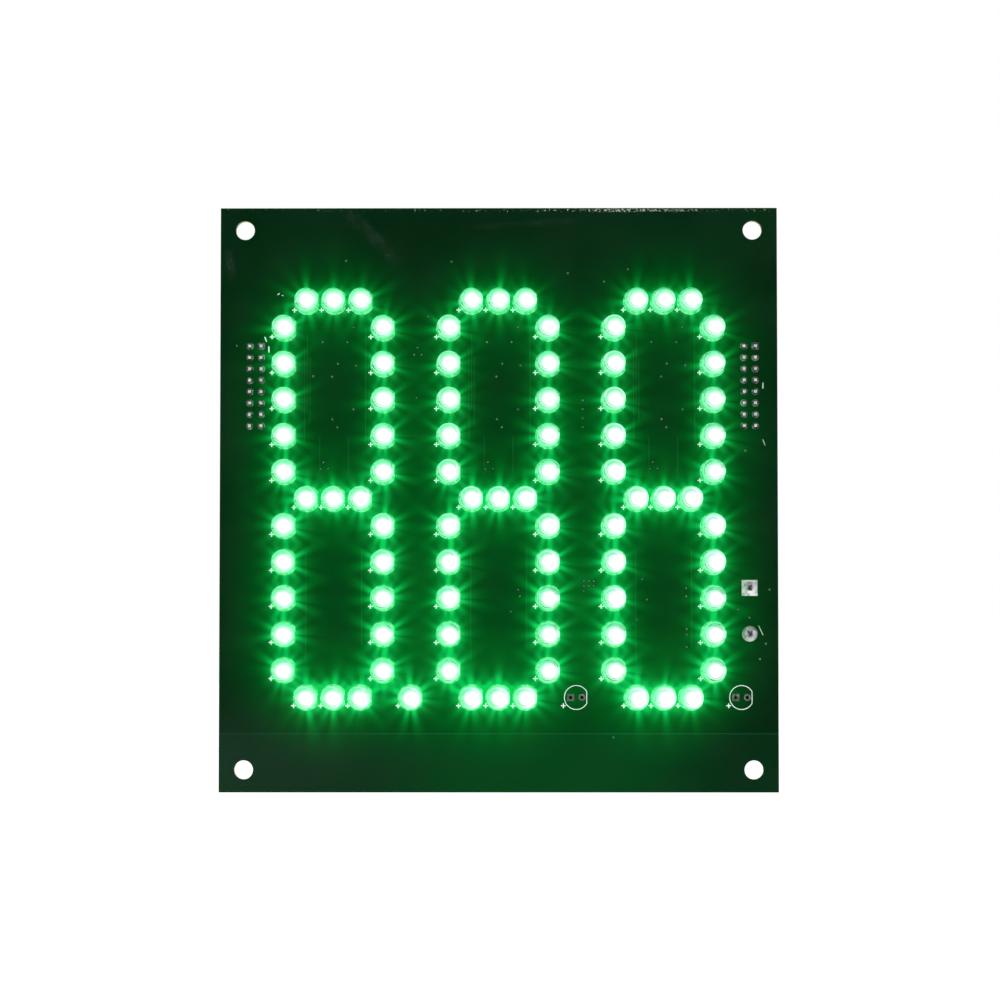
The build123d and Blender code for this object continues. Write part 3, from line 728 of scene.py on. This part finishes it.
def front_print(ink):
    """White print on the front: a plus sign at each LED's anode, and rings where a LED isn't fitted."""
    sheet = Sheet("front_print", "front", INK)
    for x, z in LED_PLACES + POINT_PLACES:
        sheet.cross(x - 2.87 * MM, z - 1.83 * MM, 1.05 * MM, 0.24 * MM)
    for x, z in EMPTY_POINTS:
        sheet.line(footprint_outline(x, z), 0.16 * MM, closed=True)
    for x0, z0, x1, z1, width in ((-52.1, 36.2, -51.7, 35.1, 0.25), (-51.2, 34.1, -51.15, 32.7, 0.30),
                                  (58.8, 25.9, 58.75, 24.6, 0.18), (58.7, 13.3, 59.2, 11.9, 0.09),
                                  (57.6, -28.1, 58.6, -30.2, 0.10),
                                  (-49.3, 45.6, -48.8, 45.9, 0.22), (-48.3, 45.5, -48.0, 45.4, 0.20)):
        sheet.line([(x0 * MM, z0 * MM), (x1 * MM, z1 * MM)], width * MM)
    sheet.done(ink)


def header_places(name):
    """Pin places of a header, with its top right pin last."""
    centre = middle(f"{name}_header_pins")
    first = (HEADER_PINS - 1) / 2
    pitch = 2 * HALF_PITCH
    return [(centre.x + side * HALF_PITCH, centre.z + (row - first) * pitch)
            for row in range(HEADER_PINS) for side in (-1, 1)]


def lands(face, tin):
    """Bare copper lands round the leads on one face."""
    sheet = Sheet(f"{face}_lands", face, COPPER)
    for name in ("input", "output"):
        places = header_places(name)
        for x, z in places:
            sheet.ring(x, z, 0.47 * MM, 0.84 * MM, square=(x, z) == places[-1])
    if face == "rear":
        for x, z in LED_PLACES + [FITTED_POINT]:
            for side in (-1, 1):
                sheet.ring(x + side * HALF_PITCH, z, 0.44 * MM, 0.84 * MM, square=side < 0)
    sheet.done(tin)


# ---------------- rear artwork
def routed(points, cut=0.7 * MM):
    """The points of a trace, with each square corner cut at 45 degrees."""
    path = [points[0]]
    for before, corner, after in zip(points, points[1:], points[2:]):
        corner = Vector(corner)
        back = Vector(before) - corner
        on = Vector(after) - corner
        size = min(cut, back.length / 2, on.length / 2)
        path.append(corner + back.normalized() * size)
        path.append(corner + on.normalized() * size)
    path.append(points[-1])
    return path


DRIVER_Z = middle("driver_packages").z
DRIVER_PITCH = 1.27 * MM
DRIVER_FOOT_X = 4.85 * MM
DRIVER_ROWS = 10
RESISTOR_Z = middle("segment_resistors").z
RESISTOR_X = 3.6 * MM
RESISTOR_PITCH = 3.4 * MM
RESISTOR_END_X = 1.35 * MM
BUFFER = middle("buffer_package")
BUFFER_PITCH = 0.65 * MM
BUFFER_FOOT_X = 2.85 * MM
CAN = middle("bulk_capacitor_can")
DIODE = middle("protection_diode")
BYPASS_Z = DRIVER_Z - 8.6 * MM
BYPASS_PLACES = [(x, BYPASS_Z) for x in DIGITS.values()] + [(BUFFER.x, BUFFER.z - 5.2 * MM)]
POWER_PLACES = [(middle(f"{pole}_terminal_contact").x, middle(f"{pole}_terminal_contact").z)
                for pole in ("positive", "negative")]
TRACE = 0.26 * MM
RAIL = 2.4 * MM
BUS_Z = 10.0 * MM
BUS_LINES = 5
BUS_PITCH = 0.8 * MM
BUS_EDGE = 3.2 * MM           # from the bus's middle to the traces' vias beside it
VIA_STEP = 0.8 * MM           # every second via stands this much further out
VIA_RADIUS = 0.28 * MM
LANE = 0.55 * MM              # between neighbouring traces of a driver
PAD_X = COLUMN_X - HALF_PITCH  # from a digit's centre to the inner pads of its columns
OUTER_LANE_X = 6.2 * MM       # from a digit's centre to the first trace outside its driver


def resistor_places(centre):
    """Resistor places of one digit: side, number from below, x and z."""
    return [(side, row, centre + side * RESISTOR_X, RESISTOR_Z + (row - 1.5) * RESISTOR_PITCH)
            for side in (-1, 1) for row in range(4)]


def segment_links(sheet):
    """Short traces that join the LEDs of each segment in series, where the signal lines leave room."""
    hop = COLUMN_PITCH - 2 * HALF_PITCH
    for centre in DIGITS.values():
        for segment in "abcdef":
            places = sorted(segment_places(segment))
            for (x0, z0), (x1, z1) in zip(places, places[1:]):
                start, end = (centre + x0 + HALF_PITCH, z0), (centre + x1 - HALF_PITCH, z1)
                if z0 == z1:
                    sheet.line([start, end], TRACE * 1.9)
                elif max(z0, z1) < BUS_Z or min(z0, z1) > BUS_Z:
                    sheet.line([start, (start[0], z0 + hop / 2), (end[0], z1 - hop / 2), end], TRACE * 1.9)


def driver_traces(sheet, centre):
    """Traces between one digit's driver, its resistors and its segments."""
    for side, row, x, z in resistor_places(centre):
        inner, outer = x - side * RESISTOR_END_X, x + side * RESISTOR_END_X
        up_x = centre + side * (2.25 * MM + (3 - row) * LANE)
        turn_x = centre + side * (0.35 * MM + row * LANE * 0.8)
        turn_z = RESISTOR_Z + 8.2 * MM + row * LANE
        up = [(inner, z), (turn_x, z), (turn_x, turn_z), (up_x, turn_z), (up_x, BUS_Z - BUS_EDGE)]
        sheet.line(routed(up, 0.4 * MM), TRACE)
        sheet.ring(up_x, BUS_Z - BUS_EDGE - row % 2 * VIA_STEP, 0.0, VIA_RADIUS, count=12)

        foot_x = centre + side * DRIVER_FOOT_X
        pin_z = DRIVER_Z + (row - 4.5) * DRIVER_PITCH
        high_x = centre + side * (OUTER_LANE_X + (3 - row) * LANE)
        down = [(high_x, BUS_Z + BUS_EDGE), (high_x, pin_z), (foot_x, pin_z)]
        sheet.line(routed(down, 0.4 * MM), TRACE)
        sheet.ring(high_x, BUS_Z + BUS_EDGE + row % 2 * VIA_STEP, 0.0, VIA_RADIUS, count=12)

        pad_x = centre + side * PAD_X
        pad_z = -(ROW_GAP + (4 - row) * COLUMN_PITCH)
        lane_x = centre + side * (OUTER_LANE_X + abs(row - 1.5) * LANE)
        sheet.line(routed([(outer, z), (lane_x, z), (lane_x, pad_z), (pad_x, pad_z)]), TRACE)
    for side in (-1, 1):
        foot_x = centre + side * DRIVER_FOOT_X
        pad_x = centre + side * PAD_X
        for step, pad_row in enumerate((2, 3)):
            pin_z = DRIVER_Z + (step + 0.5) * DRIVER_PITCH
            pad_z = ROW_GAP + pad_row * COLUMN_PITCH
            lane_x = centre + side * (6.9 * MM + step * LANE)
            sheet.line(routed([(foot_x, pin_z), (lane_x, pin_z), (lane_x, pad_z), (pad_x, pad_z)]), TRACE)
        pin_z = DRIVER_Z + 4.5 * DRIVER_PITCH
        lane_x = centre + side * OUTER_LANE_X
        pad_x = centre + side * (ROW_PITCH - side * HALF_PITCH)
        to_top = [(foot_x, pin_z), (lane_x, pin_z), (lane_x, TOP_ROW_Z - 4 * MM),
                  (pad_x, TOP_ROW_Z - 2.5 * MM), (pad_x, TOP_ROW_Z)]
        sheet.line(routed(to_top, 0.6 * MM), TRACE)


def bus_traces(sheet):
    """Signal lines from header to header across the rear, and the buffer's short traces to its vias."""
    inputs, outputs = header_places("input"), header_places("output")
    for line in range(BUS_LINES):
        level = BUS_Z + (line - (BUS_LINES - 1) / 2) * BUS_PITCH
        row = line + 1
        right, left = inputs[2 * row], outputs[2 * row + 1]
        out = 1.35 * MM + line * LANE
        path = [right, (right[0] - out, right[1]), (right[0] - out, level),
                (left[0] + out, level), (left[0] + out, left[1]), left]
        sheet.line(routed(path, 0.35 * MM), TRACE)
    for side in (-1, 1):
        for row in range(DRIVER_ROWS):
            z = BUFFER.z + (row - 4.5) * BUFFER_PITCH
            foot = BUFFER.x + side * BUFFER_FOOT_X
            end = foot + side * (1.5 * MM + row % 2 * VIA_STEP)
            sheet.line([(foot, z), (end, z)], TRACE * 0.7)
            sheet.ring(end, z, 0.0, 0.26 * MM, count=12)


def supply_rails(covered):
    """Wide copper for the supply: both board edges, the channels between digits, and the terminal."""
    sheet = Sheet("supply_rails", "rear", COPPER * 0.75)
    plus, minus = POWER_PLACES
    edge, end = 52.0 * MM, 53.0 * MM
    inner_edge = edge - RAIL / 2
    left, right = -15.3 * MM, 21.4 * MM
    branch_x = right - RAIL * 0.3
    can_z = CAN.z - 6.2 * MM
    wide = [((-end, edge), (end, edge)),
            ((-end, -edge), (minus[0] + RAIL / 2, -edge)),
            (minus, (minus[0], -inner_edge)),
            (plus, (plus[0], plus[1] + 13.0 * MM))]
    medium = [((left, -inner_edge), (left, -9.0 * MM)),
              ((right, -inner_edge), (right, -9.0 * MM)),
              ((branch_x, can_z), (CAN.x - 0.7 * MM, can_z)),
              ((branch_x, DIODE.z), (DIODE.x + 2.7 * MM, DIODE.z)),
              ((-BUFFER.x, inner_edge), (-BUFFER.x, 15.0 * MM)),
              ((BUFFER.x, inner_edge), (BUFFER.x, BUFFER.z + 1.0 * MM))]
    narrow = [((x, inner_edge), (x, DRIVER_Z + 4.0 * MM)) for x in DIGITS.values()]
    for runs, width in ((wide, RAIL), (medium, RAIL * 0.6), (narrow, RAIL * 0.5)):
        for run in runs:
            sheet.line(run, width)
    sheet.done(covered)


def rear_traces(covered):
    """Copper under the solder mask on the rear."""
    sheet = Sheet("rear_traces", "rear", COPPER * 0.6)
    segment_links(sheet)
    for centre in DIGITS.values():
        driver_traces(sheet, centre)
    bus_traces(sheet)
    sheet.done(covered)


def component_lands(tin):
    """Solder lands under the leads of the rear parts."""
    sheet = Sheet("component_lands", "rear", COPPER)

    def land(x, z, width, height):
        corners = ((-1, -1), (1, -1), (1, 1), (-1, 1))
        sheet.plate([(x + a * width / 2, z + b * height / 2) for a, b in corners])

    for centre in DIGITS.values():
        for side in (-1, 1):
            for row in range(DRIVER_ROWS):
                z = DRIVER_Z + (row - 4.5) * DRIVER_PITCH
                land(centre + side * DRIVER_FOOT_X, z, 1.5 * MM, 0.62 * MM)
        for _, _, x, z in resistor_places(centre):
            for end in (-1, 1):
                land(x + end * 1.5 * MM, z, 1.1 * MM, 1.75 * MM)
    for side in (-1, 1):
        for row in range(DRIVER_ROWS):
            land(BUFFER.x + side * BUFFER_FOOT_X, BUFFER.z + (row - 4.5) * BUFFER_PITCH, 1.3 * MM, 0.36 * MM)
        land(DIODE.x + side * 2.7 * MM, DIODE.z, 1.6 * MM, 2.3 * MM)
        land(CAN.x, CAN.z + side * 3.6 * MM, 1.5 * MM, 3.4 * MM)
        for x, z in BYPASS_PLACES:
            land(x + side * 0.95 * MM, z, 0.9 * MM, 1.35 * MM)
    sheet.done(tin)


def rear_print(ink):
    """White outlines of the parts on the rear, with no lettering."""
    sheet = Sheet("rear_print", "rear", INK, lift=COPPER)
    width = 0.2 * MM

    def outline(x, z, half_x, half_z):
        sheet.frame(x - half_x * MM, x + half_x * MM, z - half_z * MM, z + half_z * MM, width)

    for centre in DIGITS.values():
        outline(centre, DRIVER_Z, 3.85, 7.1)
        sheet.ring(centre - 5.4 * MM, DRIVER_Z + 7.0 * MM, 0.0, 0.3 * MM, count=16)
        for _, _, x, z in resistor_places(centre):
            for end in (-1, 1):
                inner, outer = x + end * 1.6 * MM, x + end * 2.3 * MM
                top, bottom = z + 1.15 * MM, z - 1.15 * MM
                sheet.line([(inner, top), (outer, top), (outer, bottom), (inner, bottom)], width)
    outline(BUFFER.x, BUFFER.z, 2.1, 3.8)
    sheet.ring(BUFFER.x - 3.2 * MM, BUFFER.z + 4.0 * MM, 0.0, 0.25 * MM, count=16)
    for x, z in BYPASS_PLACES:
        outline(x, z, 1.7, 0.95)
    for name in ("input_header_shell", "output_header_shell", "power_terminal_housing"):
        low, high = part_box(name)
        gap = 0.25 * MM
        right = min(high.x + gap, BOARD_HIGH.x - 0.4 * MM)
        sheet.frame(low.x - gap, right, low.z - gap, high.z + gap, width)
    for name in ("input", "output"):
        x, z = header_places(name)[-1]
        tip, tail = x - 5.0 * MM, x - 6.2 * MM
        sheet.plate([(tip, z), (tail, z + 0.7 * MM), (tail, z - 0.7 * MM)])
    outline(CAN.x, CAN.z, 4.7, 5.4)
    sheet.cross(CAN.x - 3.6 * MM, CAN.z + 6.6 * MM, 1.3 * MM, 0.25 * MM)
    outline(DIODE.x, DIODE.z, 3.8, 2.2)
    low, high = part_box("power_terminal_housing")
    sign_x, sign_width = 52.4 * MM, 0.35 * MM
    sheet.cross(sign_x, high.z + 2.0 * MM, 1.8 * MM, sign_width)
    minus_z = low.z - 2.0 * MM
    sheet.line([(sign_x - 0.9 * MM, minus_z), (sign_x + 0.9 * MM, minus_z)], sign_width)
    sheet.done(ink)


def part_marks(ink):
    """Printed polarity marks: a dark segment on the bulk capacitor and a bar on the diode."""
    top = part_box("bulk_capacitor_can")[1].y
    sheet = Sheet("capacitor_mark", "rear", INK, lift=top - REAR_Y)
    radius, chord = 3.4 * MM, 1.5 * MM
    start = math.acos(chord / radius)
    turns = [start * (2 * i / 24 - 1) for i in range(25)]
    sheet.plate([(CAN.x + radius * math.sin(t), CAN.z - radius * math.cos(t)) for t in turns])
    sheet.done(moulded("mark_black", (0.012, 0.012, 0.014), (0.02, 0.02, 0.022)))
    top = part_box("protection_diode")[1].y
    sheet = Sheet("diode_mark", "rear", INK, lift=top - REAR_Y)
    band_x = DIODE.x - 1.3 * MM
    sheet.line([(band_x, DIODE.z - 1.5 * MM), (band_x, DIODE.z + 1.5 * MM)], 0.55 * MM)
    sheet.done(ink)


def via_places():
    """Vias: the same few in each digit, then those between the digits and by the connectors."""
    in_digit = [(-2.6, 35.0), (2.9, 35.0), (4.3, 38.3), (0.8, 30.2), (4.9, 29.8), (-0.5, 27.3), (4.3, 20.0),
                (-0.4, 17.8), (0.7, 16.0), (-2.4, 8.2), (-3.0, 6.7), (-1.3, 6.8)]
    places = [(centre / MM + x, z) for centre in DIGITS.values() for x, z in in_digit]
    places += [(-18.1, 33.8), (-18.8, 32.2), (-17.2, 32.2), (-18.3, 22.6), (-15.7, 40.7), (-41.3, 27.4)]
    places += [(18.7, 22.0 - 2.0 * step) for step in range(4)]
    places += [(20.0 + 1.1 * (step % 3) - 1.1, -18.2 - 1.1 * (step // 3)) for step in range(7)]
    places += [(31.8, -17.8), (32.9, -22.3), (30.6, -26.8), (41.6, -19.8), (41.6, -21.6), (41.7, -28.8),
               (41.7, -30.1), (41.7, -32.8), (4.3, -20.1), (4.7, -21.6), (2.7, -25.0)]
    places += [(54.8, 10.8), (53.0, -24.5), (55.6, -26.3), (60.1, -20.1), (59.2, -32.1), (57.9, -35.5),
               (25.4, -52.8), (15.4, 50.4), (28.8, 51.3), (23.5, 48.5), (-34.0, 53.2), (-10.5, 53.0),
               (-58.3, 34.2)]
    return [(x * MM, z * MM) for x, z in places]


def hole_tents(covered):
    """Mask that closes the rear of the holes where a decimal point isn't fitted."""
    sheet = Sheet("hole_tents", "rear", COPPER * 1.3)
    for x, z in EMPTY_POINTS:
        for side in (-1, 1):
            sheet.ring(x + side * HALF_PITCH, z, 0.0, 0.62 * MM)
    sheet.done(covered)


def vias(face, covered, tin):
    """Small plated holes that carry traces from face to face, half covered by the mask."""
    collar = Sheet(f"{face}_via_collars", face, COPPER * 0.5)
    rim = Sheet(f"{face}_via_rims", face, COPPER * 1.1)
    for x, z in via_places():
        collar.ring(x, z, 0.17 * MM, 0.34 * MM, count=16)
        rim.ring(x, z, 0.08 * MM, 0.17 * MM, count=16)
    collar.done(covered)
    rim.done(tin)


def bond_wires(gold):
    """The fine wire from each chip to its post."""
    count, sides, radius = 9, 5, 0.03 * MM
    turns = [2 * math.pi * k / sides for k in range(sides)]
    mesh = bmesh.new()
    for x, z in LED_PLACES + [FITTED_POINT]:
        rings = []
        for i in range(count):
            along = i / (count - 1)
            height = (4.75 + 0.35 * along + 0.75 * math.sin(math.pi * along)) * MM
            centre = Vector((x - along * 1.05 * MM, FRONT_Y - height, z))
            rings.append([mesh.verts.new(centre + Vector((0, math.cos(t), math.sin(t))) * radius)
                          for t in turns])
        for low, high in zip(rings, rings[1:]):
            for k in range(sides):
                mesh.faces.new((low[k], low[(k + 1) % sides], high[(k + 1) % sides], high[k]))
        mesh.faces.new(rings[0])
        mesh.faces.new(rings[-1][::-1])
    add_piece("bond_wires", mesh, gold)


# ---------------- camera, lights, surroundings
def add_looking(name, data, place, target):
    """Adds a camera or a light that looks at a target."""
    thing = bpy.data.objects.new(name, data)
    bpy.context.scene.collection.objects.link(thing)
    thing.location = place
    thing.rotation_euler = (Vector(target) - thing.location).to_track_quat("-Z", "Y").to_euler()
    return thing


def add_camera():
    """The camera at the photograph's viewing angle."""
    data = bpy.data.cameras.new("camera")
    data.lens = 120.8
    data.sensor_width = 36.0
    data.clip_start = 0.01
    place = (5.2 * MM, FRONT_Y - 744.6 * MM, -36.2 * MM)
    bpy.context.scene.camera = add_looking("camera", data, place, (0.3 * MM, FRONT_Y, -0.2 * MM))


def softbox(name, place, power):
    """A square light that looks at the board."""
    data = bpy.data.lights.new(name, "AREA")
    data.size = 0.6
    data.energy = power
    add_looking(name, data, place, (0, 0, 0))


def add_surroundings():
    """White surroundings that the camera sees, dim ones that the gloss sees, a pale floor and softboxes."""
    world = bpy.data.worlds.new("studio")
    bpy.context.scene.world = world
    world.use_nodes = True
    tree = Tree(world.node_tree)
    background = world.node_tree.nodes["Background"]
    seen = tree.node("ShaderNodeLightPath").outputs["Is Camera Ray"]
    direction = tree.node("ShaderNodeSeparateXYZ")
    tree.put(direction.inputs[0], tree.node("ShaderNodeTexCoord").outputs["Generated"])
    beside = tree.ramp(tree.mul(direction.outputs[1], -1.0), 0.55, 0.93, 1.0, 0.0)
    room = tree.mix(beside, grey(0.0), grey(0.16))
    tree.put(background.inputs["Color"], tree.mix(seen, room, grey(1.0)))

    bpy.ops.mesh.primitive_plane_add(size=30.0, location=(0, 0, -0.135))
    floor = bpy.context.object
    floor.name = "floor"
    material, tree = new_material("pale_floor")
    tree.shade({"Base Color": grey(0.85), "Roughness": 0.9,
                "Emission Color": grey(1.0), "Emission Strength": 1.0})
    floor.data.materials.append(material)
    floor.visible_glossy = False

    softbox("key", (-0.9, -0.8, 0.9), 5.0)
    softbox("fill", (1.0, -0.7, 0.5), 3.0)
    softbox("rear_left", (-0.8, 0.9, 0.6), 16.0)
    softbox("rear_right", (0.9, 0.8, 0.8), 16.0)
    bpy.context.scene.view_settings.view_transform = "Standard"


# ---------------- making
finishes = node_finishes()
dress_cad_nodes(finishes)
white_ink = finish("white_ink", (0.62, 0.66, 0.62), (0.74, 0.78, 0.74), 0.5, grain=3000.0, bump=0.1)
covered_copper = finish("covered_copper", (0.008, 0.060, 0.022), (0.012, 0.080, 0.030), 0.16, bump=0.08)
header_land = metal("header_land", (0.10, 0.12, 0.11), (0.34, 0.36, 0.34), 0.30, sheen=0.8)
via_tin = metal("via_tin", (0.22, 0.38, 0.27), (0.42, 0.58, 0.46), 0.34, sheen=0.5)
front_print(lit_ink())
rear_print(white_ink)
part_marks(white_ink)
rear_traces(covered_copper)
supply_rails(covered_copper)
hole_tents(covered_copper)
component_lands(finishes["plated_land"])
for face in ("front", "rear"):
    lands(face, header_land if face == "front" else finishes["plated_land"])
    vias(face, covered_copper, via_tin)
bond_wires(metal("bond_gold", (0.85, 0.62, 0.25), (0.95, 0.75, 0.35)))
add_camera()
add_surroundings()
